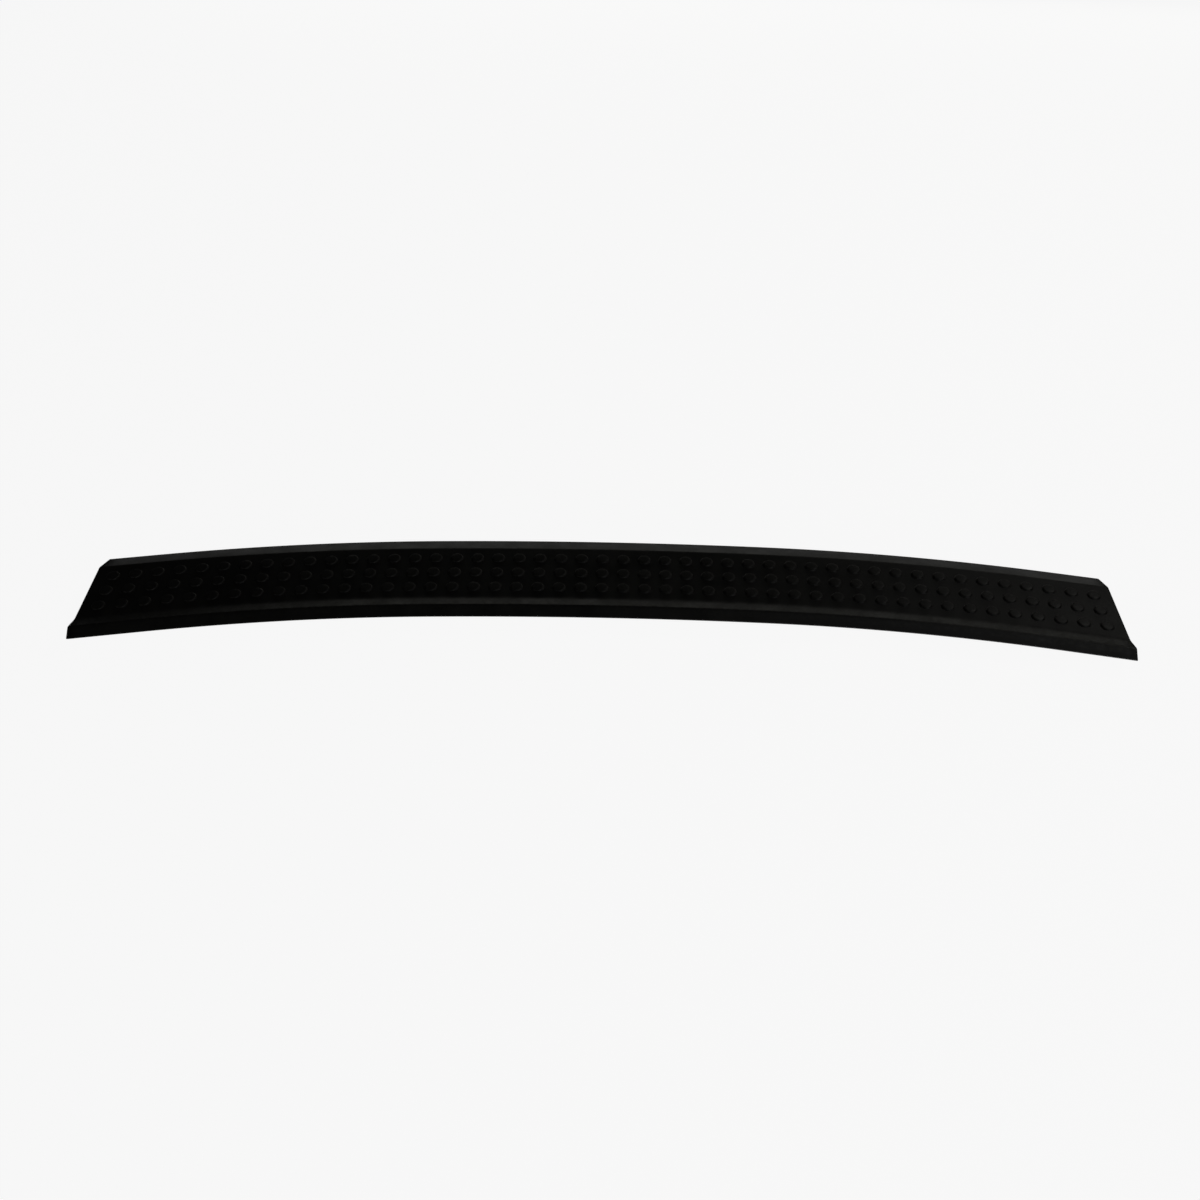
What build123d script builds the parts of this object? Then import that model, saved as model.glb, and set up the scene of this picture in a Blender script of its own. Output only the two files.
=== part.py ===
from build123d import *
import math
import os

# Bumper step pad: a long bowed tread moulding that clips into the recess on top of a
# vehicle's rear bumper cover. Millimetres. X runs along the pad, +Y towards its outer
# (rear) edge and +Z up. The origin is on the centre locating pin's axis, in the seat
# plane, which is where the ribs' feet rest on the bumper cover.

# Plan of the tread field's centre line: a flat middle arc, two tighter flank arcs and
# two straight ends, each tangent to the next. The half length is taken on this line, and
# the end cuts lean by the end taper, so that the inner edge is a little the shorter.
half_length = 756.5
middle_radius = 6900.0
middle_half_length = 250.0
flank_radius = 3150.0
end_angle = 9.8
end_taper = 1.55

# Section across the pad, from the inner (tailgate) edge to the outer edge.
wall = 3.0
field_width = 109.0
field_top = 11.0
ramp_width = 22.0
ramp_rise = 7.1
nose_width = 15.0
nose_drop = 9.6
band_width = 34.7
band_drop = 15.0
crest_radius = 5.0
foot_radius = 28.0
border_radius = 9.0
lip_radius = 1.2

# Round tread studs in rows, on a square grid.
stud_pitch = 31.75
stud_rows = 3
stud_radius = 10.0
stud_height = 2.4
stud_shoulder_radius = 7.6
stud_shoulder_height = 2.2
stud_end_margin = 12.0
stud_root = 0.5

# Ribs under the field.
rib_thickness = 2.0
outer_rib_inset = 2.5
inner_rib_offset = 17.5
ribs_per_bay = 4

# Push-in retainers: a square head and a collar grip the doghouse shelf between them,
# and a barbed shank goes through the bumper cover.
clips_per_row = 6
last_clip_inset = 121.5
clip_float = 3.0
clip_clearance = 0.3
head_size = 14.0
head_thickness = 1.6
neck_radius = 3.0
collar_radius = 8.0
shank_radius = 2.6
shank_length = 15.0
barb_count = 3
barb_radius = 4.3
barb_height = 2.2
barb_pitch = 3.5
first_barb = 2.6
tip_radius = 1.2
tip_length = 2.4

# Doghouse towers that hold the retainers' heads.
shelf_thickness = 2.0
doghouse_wall = 2.0
detent_length = 2.0
detent_depth = 0.7

# Sealing washers under the retainers' collars.
washer_thickness = 1.5
washer_radius = 9.0
washer_bore_radius = 2.8

# Locating pins moulded with the pad: one at the centre, one towards each end.
locator_radius = 4.0
locator_length = 12.0
locator_chamfer = 1.5
locator_boss_radius = 7.0

# Anti-squeak foam strips: in the hollow of the raised lip and under the outer band.
foam_gap = 0.1
foam_end_inset = 9.0
foam_middle_gap = 8.0
lip_foam_width = 14.0
lip_foam_proud = 0.9
band_foam_width = 14.0
band_foam_thickness = 4.0
band_foam_from_border = 12.0

# Margins for building and trimming.
trim = 40.0
overlap = 0.6
block_reach = 300.0

field_half = field_width / 2
plate_under = field_top - wall
crest_y = -field_half - ramp_width
crest_z = field_top + ramp_rise
nose_y = crest_y - nose_width
nose_z = crest_z - nose_drop
rim_y = field_half + band_width
rim_z = field_top - band_drop
outer_rib_offset = field_half - outer_rib_inset
clip_row_offset = (outer_rib_offset + inner_rib_offset) / 2
clip_spacing = 2 * (half_length - last_clip_inset) / (clips_per_row - 1)
rib_pitch = clip_spacing / ribs_per_bay

# Heights in the retainer stack, from the plate's underside down to the seat plane.
head_top = plate_under - clip_clearance
head_under = head_top - head_thickness
shelf_top = head_under - clip_clearance
shelf_under = shelf_top - shelf_thickness
collar_top = shelf_under - clip_clearance
collar_under = washer_thickness


def plan_y(x):
    """Y of the tread field's centre line at x, measured from its middle."""
    middle_angle = math.asin(middle_half_length / middle_radius)
    flank_angle = math.radians(end_angle)
    flank_end = middle_half_length + flank_radius * (math.sin(flank_angle) - math.sin(middle_angle))
    run = min(abs(x), middle_half_length)
    drop = middle_radius - math.sqrt(middle_radius**2 - run**2)
    if abs(x) > middle_half_length:
        run = min(abs(x), flank_end) - middle_half_length
        sine = math.sin(middle_angle) + run / flank_radius
        drop += flank_radius * (math.cos(middle_angle) - math.sqrt(1 - sine**2))
    if abs(x) > flank_end:
        drop += (abs(x) - flank_end) * math.tan(flank_angle)
    return -drop


def plan_path():
    """The centre line as one wire from the left end to the right, past both ends."""
    middle_angle = math.degrees(math.asin(middle_half_length / middle_radius))
    middle = JernArc((0, 0), (1, 0), middle_radius, -middle_angle)
    flank = JernArc(middle @ 1, middle % 1, flank_radius, middle_angle - end_angle)
    past_flank = max(half_length - (flank @ 1).X, 0)
    straight_length = past_flank / math.cos(math.radians(end_angle)) + trim
    straight = Line(flank @ 1, flank @ 1 + (flank % 1) * straight_length)
    right = [middle.edge(), flank.edge(), straight.edge()]
    left = [edge.mirror(Plane.YZ) for edge in right]
    return Wire(left + right)


def along_pad(section):
    """Carries a section, drawn as (across, up), along the whole centre line."""
    path = plan_path()
    start = path @ 0
    heading = path % 0
    if start.X > 0:
        start = path @ 1
        heading = -(path % 1)
    across = Vector(-heading.Y, heading.X, 0)
    station = Plane(origin=start, x_dir=across, z_dir=heading)
    return sweep(station * section, path=path)


def between_ends(inset):
    """A block over the pad's whole width that ends inside both leaning end cuts."""
    end_y = plan_y(half_length)
    lean = math.tan(math.radians(end_taper))
    near = end_y - block_reach
    far = end_y + block_reach
    near_x = half_length - inset + lean * (near - end_y)
    far_x = half_length - inset + lean * (far - end_y)
    plan = Polyline((-near_x, near), (near_x, near), (far_x, far), (-far_x, far), close=True)
    return Pos(0, 0, -block_reach) * extrude(make_face(plan.edges()), amount=2 * block_reach)


def half_space(side, gap):
    """A block on one side of the middle, a gap away from it."""
    length = half_length + trim
    return Pos(side * (gap + length / 2), 0, 0) * Box(length, 2 * block_reach, 2 * block_reach)


def top_line():
    """The pad's upper surface in section: nose, raised lip, ramp, field and band."""
    corners = [
        (nose_y, nose_z),
        (crest_y, crest_z),
        (-field_half, field_top),
        (field_half, field_top),
        (rim_y, rim_z),
    ]
    return FilletPolyline(*corners, radius=[crest_radius, foot_radius, border_radius])


def skin_section():
    """The moulded wall, with rounded lips at its inner and outer edges."""
    outline = offset(top_line(), amount=wall, side=Side.RIGHT, closed=True)
    face = make_face(outline.edges())
    ends = face.vertices().sort_by(Axis.X)
    lips = ends[:2] + ends[-2:]
    return fillet(lips, lip_radius)


def lengthwise_ribs():
    """Four ribs along the pad that reach down to the seat plane."""
    rib_height = plate_under + overlap
    offsets = [-outer_rib_offset, -inner_rib_offset, inner_rib_offset, outer_rib_offset]
    return [Pos(y, rib_height / 2) * Rectangle(rib_thickness, rib_height) for y in offsets]


def end_wall_section():
    """The whole section filled down to the seat plane, which closes the pad's ends."""
    foot = outer_rib_offset + rib_thickness / 2
    lower = Polyline((rim_y, rim_z), (foot, 0), (-foot, 0), (nose_y, nose_z))
    return make_face(top_line().edges() + lower.edges())


def mirrored(values):
    """The same positions on both sides of the middle."""
    return [-value for value in values] + list(values)


def clip_stations():
    """X of each retainer along a row."""
    first = -half_length + last_clip_inset
    return [first + index * clip_spacing for index in range(clips_per_row)]


def rib_stations():
    """X of each cross rib: the retainers stand midway between two of them."""
    lean = math.tan(math.radians(end_taper)) * field_half
    limit = half_length - wall - rib_thickness - lean
    count = int((limit / rib_pitch) + 0.5)
    return mirrored([(index + 0.5) * rib_pitch for index in range(count)])


def cross_ribs():
    """Ribs across the pad, between the outermost lengthwise ribs."""
    length = 2 * outer_rib_offset
    height = plate_under + overlap
    return [
        Pos(x, plan_y(x), height / 2) * Box(rib_thickness, length, height)
        for x in rib_stations()
    ]


def stud():
    """A low round stud: a gently crowned top that turns down at its shoulder."""
    profile_top = ThreePointArc(
        (0, stud_height),
        (stud_shoulder_radius / 2, stud_height - (stud_height - stud_shoulder_height) / 4),
        (stud_shoulder_radius, stud_shoulder_height),
    )
    shoulder = TangentArc((stud_shoulder_radius, stud_shoulder_height), (stud_radius, 0),
                          tangent=profile_top % 1)
    root = Polyline((stud_radius, 0), (stud_radius, -stud_root), (0, -stud_root), (0, stud_height))
    face = make_face(profile_top.edges() + shoulder.edges() + root.edges())
    return revolve(Plane.XZ * face, Axis.Z)


def stud_positions():
    """Centres of the studs: whole columns across the field, in line along Y."""
    columns = int((half_length - stud_end_margin - stud_radius) / stud_pitch)
    rows = [(row - (stud_rows - 1) / 2) * stud_pitch for row in range(stud_rows)]
    return [
        (column * stud_pitch, plan_y(column * stud_pitch) + row)
        for column in range(-columns, columns + 1)
        for row in rows
    ]


def doghouse():
    """The tower round a retainer's head, open towards +X, with a slot in its shelf."""
    cavity_half = head_size / 2 + clip_clearance
    closed_end = cavity_half + clip_float
    open_end = closed_end + detent_length
    outer_half = cavity_half + doghouse_wall
    tower_height = plate_under - shelf_under + overlap
    tower_length = closed_end + doghouse_wall + open_end
    tower_middle = (open_end - closed_end - doghouse_wall) / 2
    tower = Pos(tower_middle, 0, shelf_under + tower_height / 2) * Box(
        tower_length, 2 * outer_half, tower_height
    )
    cavity_length = closed_end + open_end + trim
    cavity_height = plate_under - shelf_top
    cavity = Pos(cavity_length / 2 - closed_end, 0, shelf_top + cavity_height / 2) * Box(
        cavity_length, 2 * cavity_half, cavity_height
    )
    slot_half = neck_radius + clip_clearance
    slot_height = 3 * shelf_thickness
    slot_length = open_end + trim + clip_float
    slot_end = Pos(-clip_float, 0, shelf_under) * Cylinder(slot_half, slot_height)
    slot = Pos(slot_length / 2 - clip_float, 0, shelf_under) * Box(
        slot_length, 2 * slot_half, slot_height
    )
    body = tower - cavity - slot_end - slot
    detent_x = clip_float + slot_half + detent_length / 2
    detent_y = slot_half - detent_depth / 2
    for side in (-1, 1):
        body += Pos(detent_x, side * detent_y, shelf_under + shelf_thickness / 2) * Box(
            detent_length, detent_depth, shelf_thickness
        )
    return body


def locator():
    """A round locating pin below the seat plane, on a boss under the field."""
    pin = Pos(0, 0, -locator_length / 2) * Cylinder(locator_radius, locator_length)
    pin = chamfer(pin.edges().sort_by(Axis.Z)[0], locator_chamfer)
    boss_height = plate_under + overlap
    return pin + Pos(0, 0, boss_height / 2) * Cylinder(locator_boss_radius, boss_height)


def locator_positions():
    """The centre pin, and one pin a rib pitch inboard of each last retainer."""
    end_x = half_length - last_clip_inset - rib_pitch
    return [(x, plan_y(x)) for x in (-end_x, 0, end_x)]


def clip_positions():
    """Row name, number, X and Y of every retainer."""
    places = []
    for row, side in (("inner", -1), ("outer", 1)):
        for number, x in enumerate(clip_stations(), start=1):
            places.append((row, number, x, plan_y(x) + side * clip_row_offset))
    return places


def pad_moulding():
    """The one-piece moulding: skin, ribs, end walls, studs, doghouses and pins."""
    section = skin_section()
    for rib in lengthwise_ribs():
        section = section + rib
    body = along_pad(section) & between_ends(0)
    end_blocks = between_ends(0) - between_ends(wall)
    end_walls = along_pad(end_wall_section()) & end_blocks
    pieces = list(end_walls.solids())
    pieces += cross_ribs()
    one_doghouse = doghouse()
    for row, number, x, y in clip_positions():
        turned = Rot(0, 0, 180) if x < 0 else Rot(0, 0, 0)
        pieces.append(Pos(x, y, 0) * turned * one_doghouse)
    one_locator = locator()
    pieces += [Pos(x, y, 0) * one_locator for x, y in locator_positions()]
    one_stud = stud()
    pieces += [Pos(x, y, field_top) * one_stud for x, y in stud_positions()]
    return body.fuse(*pieces)


def clip():
    """A push-in retainer: square head, neck, collar and barbed shank."""
    points = [(0, head_under), (neck_radius, head_under), (neck_radius, collar_top)]
    points += [(collar_radius, collar_top), (collar_radius, collar_under)]
    points += [(shank_radius, collar_under)]
    for index in range(barb_count):
        top = -first_barb - index * barb_pitch
        points += [(shank_radius, top), (barb_radius, top), (shank_radius, top - barb_height)]
    points += [(shank_radius, tip_length - shank_length), (tip_radius, -shank_length)]
    points += [(0, -shank_length)]
    stem = revolve(Plane.XZ * make_face(Polyline(*points, close=True).edges()), Axis.Z)
    head = Pos(0, 0, head_under + head_thickness / 2) * Box(head_size, head_size, head_thickness)
    head = chamfer(head.edges().filter_by(Axis.Z), head_thickness / 2)
    return stem + head


def washer():
    """A soft ring between the collar and the bumper cover."""
    ring = Cylinder(washer_radius, washer_thickness) - Cylinder(washer_bore_radius, 2 * washer_thickness)
    return Pos(0, 0, washer_thickness / 2) * ring


def under_band(along, down):
    """A point under the outer band: along its slope from the border, down from its face."""
    slope = math.atan2(band_drop, band_width)
    start_y = field_half + along * math.cos(slope) - down * math.sin(slope)
    start_z = field_top - along * math.sin(slope) - down * math.cos(slope)
    return (start_y, start_z)


def band_foam_section():
    """A flat strip that lies along the band's underside."""
    near = band_foam_from_border
    far = near + band_foam_width
    top = wall + foam_gap
    low = top + band_foam_thickness
    corners = [under_band(near, top), under_band(far, top), under_band(far, low), under_band(near, low)]
    return make_face(Polyline(*corners, close=True).edges())


def lip_foam_section():
    """A strip that fills the raised lip's hollow and stands a little below its edge."""
    hollow = offset(top_line(), amount=wall + foam_gap, side=Side.RIGHT, closed=False)
    roof = make_face(hollow.edges() + [Edge.make_line(hollow @ 1, hollow @ 0)])
    low = nose_z - lip_foam_proud
    height = crest_z - low
    bar = Pos(crest_y, low + height / 2) * Rectangle(lip_foam_width, height)
    return bar & roof


def foam_strip(section, side):
    """The left (-1) or right (+1) length of a foam strip."""
    length = between_ends(wall + foam_end_inset) & half_space(side, foam_middle_gap / 2)
    return along_pad(section) & length


os.makedirs("parts", exist_ok=True)
export_step(pad_moulding(), "parts/pad_moulding.step")

one_clip = clip()
one_washer = washer()
for row, number, x, y in clip_positions():
    export_step(Pos(x, y, 0) * one_clip, f"parts/clip_{row}_{number}.step")
    export_step(Pos(x, y, 0) * one_washer, f"parts/washer_{row}_{number}.step")

for hand, side in (("left", -1), ("right", 1)):
    export_step(foam_strip(lip_foam_section(), side), f"parts/foam_lip_{hand}.step")
    export_step(foam_strip(band_foam_section(), side), f"parts/foam_band_{hand}.step")
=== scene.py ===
import math

import bpy
import numpy as np
from mathutils import Matrix, Vector


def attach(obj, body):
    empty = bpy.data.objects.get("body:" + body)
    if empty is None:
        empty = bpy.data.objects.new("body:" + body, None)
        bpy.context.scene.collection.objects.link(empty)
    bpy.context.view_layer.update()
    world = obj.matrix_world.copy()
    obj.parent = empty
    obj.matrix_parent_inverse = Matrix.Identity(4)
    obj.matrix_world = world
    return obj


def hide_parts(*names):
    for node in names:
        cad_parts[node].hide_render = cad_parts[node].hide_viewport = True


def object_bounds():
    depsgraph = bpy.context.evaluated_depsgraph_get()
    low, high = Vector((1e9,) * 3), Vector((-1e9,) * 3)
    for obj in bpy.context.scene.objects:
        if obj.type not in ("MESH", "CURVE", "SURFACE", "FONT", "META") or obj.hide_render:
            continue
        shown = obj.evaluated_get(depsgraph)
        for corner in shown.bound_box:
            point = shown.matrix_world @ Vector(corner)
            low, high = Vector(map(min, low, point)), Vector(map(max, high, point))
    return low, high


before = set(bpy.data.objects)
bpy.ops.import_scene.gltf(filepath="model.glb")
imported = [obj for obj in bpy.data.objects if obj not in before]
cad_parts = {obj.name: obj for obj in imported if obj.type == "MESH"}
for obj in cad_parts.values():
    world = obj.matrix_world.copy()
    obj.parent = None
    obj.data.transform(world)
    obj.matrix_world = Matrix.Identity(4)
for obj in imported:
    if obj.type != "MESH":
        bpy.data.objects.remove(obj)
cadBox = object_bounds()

print("stage: frame loaded,", len(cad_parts), "nodes")
mm = 0.001  # lengths below are in millimetres and turn into metres when a mesh is made

# plan of the tread field's centre line: a flat middle arc, tighter flank arcs, straight ends
plan = {
    "halfLength": 756.5,
    "middleRadius": 6900.0,
    "middleHalf": 250.0,
    "flankRadius": 3150.0,
    "endAngle": 9.8,  # degrees
    "endTaper": 1.55,  # degrees that each end cut leans, shorter at the inner edge
    "taperEdge": 8.0,  # full lean within this of each end
    "taperRun": 60.0,  # length over which the lean then dies out
    "stations": 121,
}

# section across the pad, from the inner lip's nose to the outer band's rim
section = {
    "fieldTop": 11.0,
    "wall": 3.0,
    "fieldWidth": 109.0,
    "rampWidth": 22.0,
    "rampRise": 7.1,
    "noseWidth": 15.0,
    "noseDrop": 9.6,
    "bandWidth": 34.7,
    "bandDrop": 15.0,
    "crestRadius": 5.0,
    "footRadius": 28.0,
    "borderRadius": 9.0,
    "lipRadius": 1.2,
    "arcSteps": 7,
    "lipSteps": 5,
}
fieldHalf = section["fieldWidth"] / 2
plateUnder = section["fieldTop"] - section["wall"]
endWallFoot = fieldHalf - 1.5  # the outer ribs' outer faces


# Y of the curve parallel to the centre line at distance u: on each arc it is the centre's Y
# plus the root of (radius + u) squared less x squared, and on the ends it falls by the tangent
def planY(x, u):
    one = math.asin(plan["middleHalf"] / plan["middleRadius"])
    two = math.radians(plan["endAngle"])
    r1, r2 = plan["middleRadius"], plan["flankRadius"]
    x = np.abs(x)
    centreX, centreY = (r1 - r2) * math.sin(one), (r1 - r2) * math.cos(one) - r1
    middleEnd = (r1 + u) * math.sin(one)
    flankEnd = centreX + (r2 + u) * math.sin(two)
    middle = np.sqrt((r1 + u) ** 2 - np.minimum(x, middleEnd) ** 2) - r1
    flank = centreY + np.sqrt((r2 + u) ** 2 - (np.clip(x, middleEnd, flankEnd) - centreX) ** 2)
    ends = centreY + (r2 + u) * math.cos(two) - (x - flankEnd) * math.tan(two)
    return np.where(x <= middleEnd, middle, np.where(x <= flankEnd, flank, ends))


# points at x and u across the pad; towards an end, x shifts by the end cut's lean times the
# point's Y past the cut's own place on the centre line, and the shift dies out inboard
def alongPlan(x, u, z):
    half, run = plan["halfLength"], plan["taperRun"]
    lean = math.tan(math.radians(plan["endTaper"]))
    inboard = half - plan["taperEdge"] - run
    weight = np.clip((np.abs(x) - inboard) / run, 0.0, 1.0)
    shift = lean * (planY(half + 0 * u, u) - planY(half, 0.0))
    x = x + np.sign(x) * weight * shift
    return np.stack([x + 0 * u, planY(x, u), z + 0 * x], -1)


def unit(angle):
    return np.array([math.cos(angle), math.sin(angle)])


# a bent line with round corners: straight runs between tangent points, and on each corner an
# arc whose points are its centre plus radius times a turning normal; returns points and normals
def roundedLine(corners, radii, steps, support=1.0):
    corners = np.array(corners, float)
    runs = np.diff(corners, axis=0)
    heading = np.arctan2(runs[:, 1], runs[:, 0])
    points, angles = [corners[0]], [heading[0] + math.pi / 2]
    for corner, radius, before, after in zip(corners[1:-1], radii, heading[:-1], heading[1:]):
        turn = (after - before + math.pi) % (2 * math.pi) - math.pi
        side = -1.0 if turn > 0 else 1.0
        reach = radius * math.tan(abs(turn) / 2)
        inward, outward = unit(before), unit(after)
        first = corner - reach * inward
        normal = np.array([-math.sin(before), math.cos(before)])
        centre = first - side * radius * normal
        angle = before + math.pi / 2 + turn * np.linspace(0, 1, steps)
        arc = centre + side * radius * np.stack([np.cos(angle), np.sin(angle)], 1)
        points += [first - support * inward, *arc, corner + (reach + support) * outward]
        angles += [angle[0], *angle, angle[-1]]
    points.append(corners[-1])
    angles.append(heading[-1] + math.pi / 2)
    angles = np.array(angles)
    return np.array(points), np.stack([np.cos(angles), np.sin(angles)], 1)


# quads of a grid of rows by cols points, closed round its columns when asked
def gridQuads(rows, cols, wrap=False, start=0):
    i = np.arange(rows - 1)[:, None] * cols
    j = np.arange(cols if wrap else cols - 1)[None, :]
    k = (j + 1) % cols
    return start + np.stack([i + j, i + k, i + cols + k, i + cols + j], -1).reshape(-1, 4)


# a loop of points closed by quads between its two halves, the second half running back
def loopCap(count, start, turned):
    k = np.arange(count // 2 - 1)
    quads = np.stack([k, k + 1, count - 2 - k, count - 1 - k], 1) + start
    return quads[:, ::-1] if turned else quads


# a tube of equal loops: rows of loop points, closed round and capped at both ends
def tube(loops):
    rows, cols = loops.shape[:2]
    faces = np.concatenate([
        gridQuads(rows, cols, wrap=True),
        loopCap(cols, 0, turned=True),
        loopCap(cols, (rows - 1) * cols, turned=False),
    ])
    return loops.reshape(-1, 3), faces


# copies of one shape: each vertex turned about Z by the copy's angle, then moved to its place
def copies(verts, faces, places, turns=None):
    places = np.array(places, float)
    turns = np.zeros(len(places)) if turns is None else np.array(turns, float)
    c, s = np.cos(turns)[:, None], np.sin(turns)[:, None]
    x = places[:, :1] + verts[:, 0] * c - verts[:, 1] * s
    y = places[:, 1:2] + verts[:, 0] * s + verts[:, 1] * c
    z = places[:, 2:3] + verts[:, 2] + 0 * x
    moved = np.stack([x, y, z], -1).reshape(-1, 3)
    shift = np.arange(len(places))[:, None, None] * len(verts)
    return moved, (faces[None] + shift).reshape(-1, faces.shape[1])


# signed volume of closed faces: a sixth of the sum of each corner triple's box product
def signedVolume(verts, faces):
    total = 0.0
    for third in range(2, faces.shape[1]):
        a, b, c = verts[faces[:, 0]], verts[faces[:, third - 1]], verts[faces[:, third]]
        total += np.einsum("ij,ij->i", a, np.cross(b, c)).sum() / 6
    return total


# puts closed shells into one mesh in metres, each turned outwards by its own signed volume
def makePiece(name, shells, material, body, sharpAngle=40.0):
    verts, faces, start = [], [], 0
    for points, quads in shells:
        points = np.asarray(points, float)
        if signedVolume(points - points.mean(0), quads) < 0:
            quads = quads[:, ::-1]
        verts.append(points * mm)
        faces.append(quads + start)
        start += len(points)
    verts = np.concatenate(verts)
    faces = np.concatenate(faces)
    mesh = bpy.data.meshes.new(name)
    mesh.from_pydata(verts.tolist(), [], faces.tolist())
    mesh.validate()
    mesh.polygons.foreach_set("use_smooth", np.ones(len(mesh.polygons), bool))
    mesh.set_sharp_from_angle(angle=math.radians(sharpAngle))
    mesh.materials.append(material)
    mesh.update()
    piece = bpy.data.objects.new(name, mesh)
    bpy.context.scene.collection.objects.link(piece)
    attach(piece, body)
    return piece


# a node group with its own inputs (label, kind, value) and outputs (label, kind)
def groupTree(name, inputs, outputs):
    tree = bpy.data.node_groups.new(name, "ShaderNodeTree")
    for label, kind, value in inputs:
        socket = tree.interface.new_socket(name=label, in_out="INPUT", socket_type=kind)
        if value is not None:
            socket.default_value = value
    for label, kind in outputs:
        tree.interface.new_socket(name=label, in_out="OUTPUT", socket_type=kind)
    return tree, tree.nodes.new("NodeGroupInput"), tree.nodes.new("NodeGroupOutput")


# gives a socket a number, a colour or a link from another socket
def feed(tree, socket, value):
    if isinstance(value, (int, float)):
        socket.default_value = value
    elif isinstance(value, tuple):
        socket.default_value = (*value, 1.0)
    else:
        tree.links.new(value, socket)


def addMath(tree, kind, first, second=None, third=None, clamp=False):
    node = tree.nodes.new("ShaderNodeMath")
    node.operation = kind
    node.use_clamp = clamp
    for index, value in enumerate((first, second, third)):
        if value is not None:
            feed(tree, node.inputs[index], value)
    return node.outputs[0]


# smooth step of a value between two edges
def addStep(tree, value, edges):
    node = tree.nodes.new("ShaderNodeMapRange")
    node.interpolation_type = "SMOOTHSTEP"
    feed(tree, node.inputs["Value"], value)
    for label, edge in zip(("From Min", "From Max"), edges):
        feed(tree, node.inputs[label], edge)
    return node.outputs["Result"]


def addNoise(tree, vector, scale, detail):
    node = tree.nodes.new("ShaderNodeTexNoise")
    node.inputs["Detail"].default_value = detail
    node.inputs["Roughness"].default_value = 0.55
    feed(tree, node.inputs["Scale"], scale)
    feed(tree, node.inputs["Vector"], vector)
    return node.outputs["Fac"]


# the mix node has a set of sockets for each kind of value; these are its colour ones
mixSockets = {"first": 6, "second": 7, "result": 2}


def addMix(tree, factor, first, second):
    node = tree.nodes.new("ShaderNodeMix")
    node.data_type = "RGBA"
    feed(tree, node.inputs["Factor"], factor)
    feed(tree, node.inputs[mixSockets["first"]], first)
    feed(tree, node.inputs[mixSockets["second"]], second)
    return node.outputs[mixSockets["result"]]


# moulded grain: cells of a given size in metres, each a low round pebble, roughened by noise
grainLook = {
    "smoothness": 0.35, "fineScale": 2.6, "fineDetail": 4.0, "fineAmount": 0.5,
    "valley": (0.42, 0.72),
}


def grainGroup():
    tree, source, sink = groupTree(
        "mouldedGrain",
        [("Vector", "NodeSocketVector", None), ("Cell", "NodeSocketFloat", 0.0009)],
        [("Height", "NodeSocketFloat"), ("Valley", "NodeSocketFloat")],
    )
    scale = addMath(tree, "DIVIDE", 1.0, source.outputs["Cell"])
    cells = tree.nodes.new("ShaderNodeTexVoronoi")
    cells.feature = "SMOOTH_F1"
    cells.inputs["Smoothness"].default_value = grainLook["smoothness"]
    tree.links.new(source.outputs["Vector"], cells.inputs["Vector"])
    tree.links.new(scale, cells.inputs["Scale"])
    pebble = addMath(tree, "SUBTRACT", 1.0, cells.outputs["Distance"], clamp=True)
    fineScale = addMath(tree, "MULTIPLY", scale, grainLook["fineScale"])
    fine = addNoise(tree, source.outputs["Vector"], fineScale, grainLook["fineDetail"])
    height = addMath(tree, "MULTIPLY_ADD", fine, grainLook["fineAmount"], pebble)
    tree.links.new(height, sink.inputs["Height"])
    valley = addStep(tree, cells.outputs["Distance"], grainLook["valley"])
    tree.links.new(valley, sink.inputs["Valley"])
    return tree


# dust: more where the surface faces up, where noise gathers it, and in the grain's valleys
dustLook = {
    "facing": (0.2, 0.95), "driftScale": 14.0, "driftDetail": 5.0, "drift": (0.38, 0.72),
    "speckScale": 900.0, "speckDetail": 2.0, "specks": (0.62, 0.72),
    "valleyAmount": 0.5, "speckAmount": 0.6,
}


def dustGroup():
    tree, source, sink = groupTree(
        "settledDust",
        [("Vector", "NodeSocketVector", None), ("Valley", "NodeSocketFloat", 0.0),
         ("Amount", "NodeSocketFloat", 0.2)],
        [("Mask", "NodeSocketFloat")],
    )
    geometry = tree.nodes.new("ShaderNodeNewGeometry")
    split = tree.nodes.new("ShaderNodeSeparateXYZ")
    tree.links.new(geometry.outputs["Normal"], split.inputs[0])
    vector, k = source.outputs["Vector"], dustLook
    facing = addStep(tree, split.outputs["Z"], k["facing"])
    drift = addStep(tree, addNoise(tree, vector, k["driftScale"], k["driftDetail"]), k["drift"])
    specks = addStep(tree, addNoise(tree, vector, k["speckScale"], k["speckDetail"]), k["specks"])
    gathered = addMath(tree, "MULTIPLY_ADD", source.outputs["Valley"], k["valleyAmount"], drift)
    gathered = addMath(tree, "MULTIPLY_ADD", specks, k["speckAmount"], gathered)
    settled = addMath(tree, "MULTIPLY", gathered, facing)
    mask = addMath(tree, "MULTIPLY", settled, source.outputs["Amount"], clamp=True)
    tree.links.new(mask, sink.inputs["Mask"])
    return tree


# rubbed places: heights above a level in the object's own Z, broken up by noise
rubLook = {"scale": 160.0, "detail": 4.0, "broken": (0.40, 0.66)}


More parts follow.
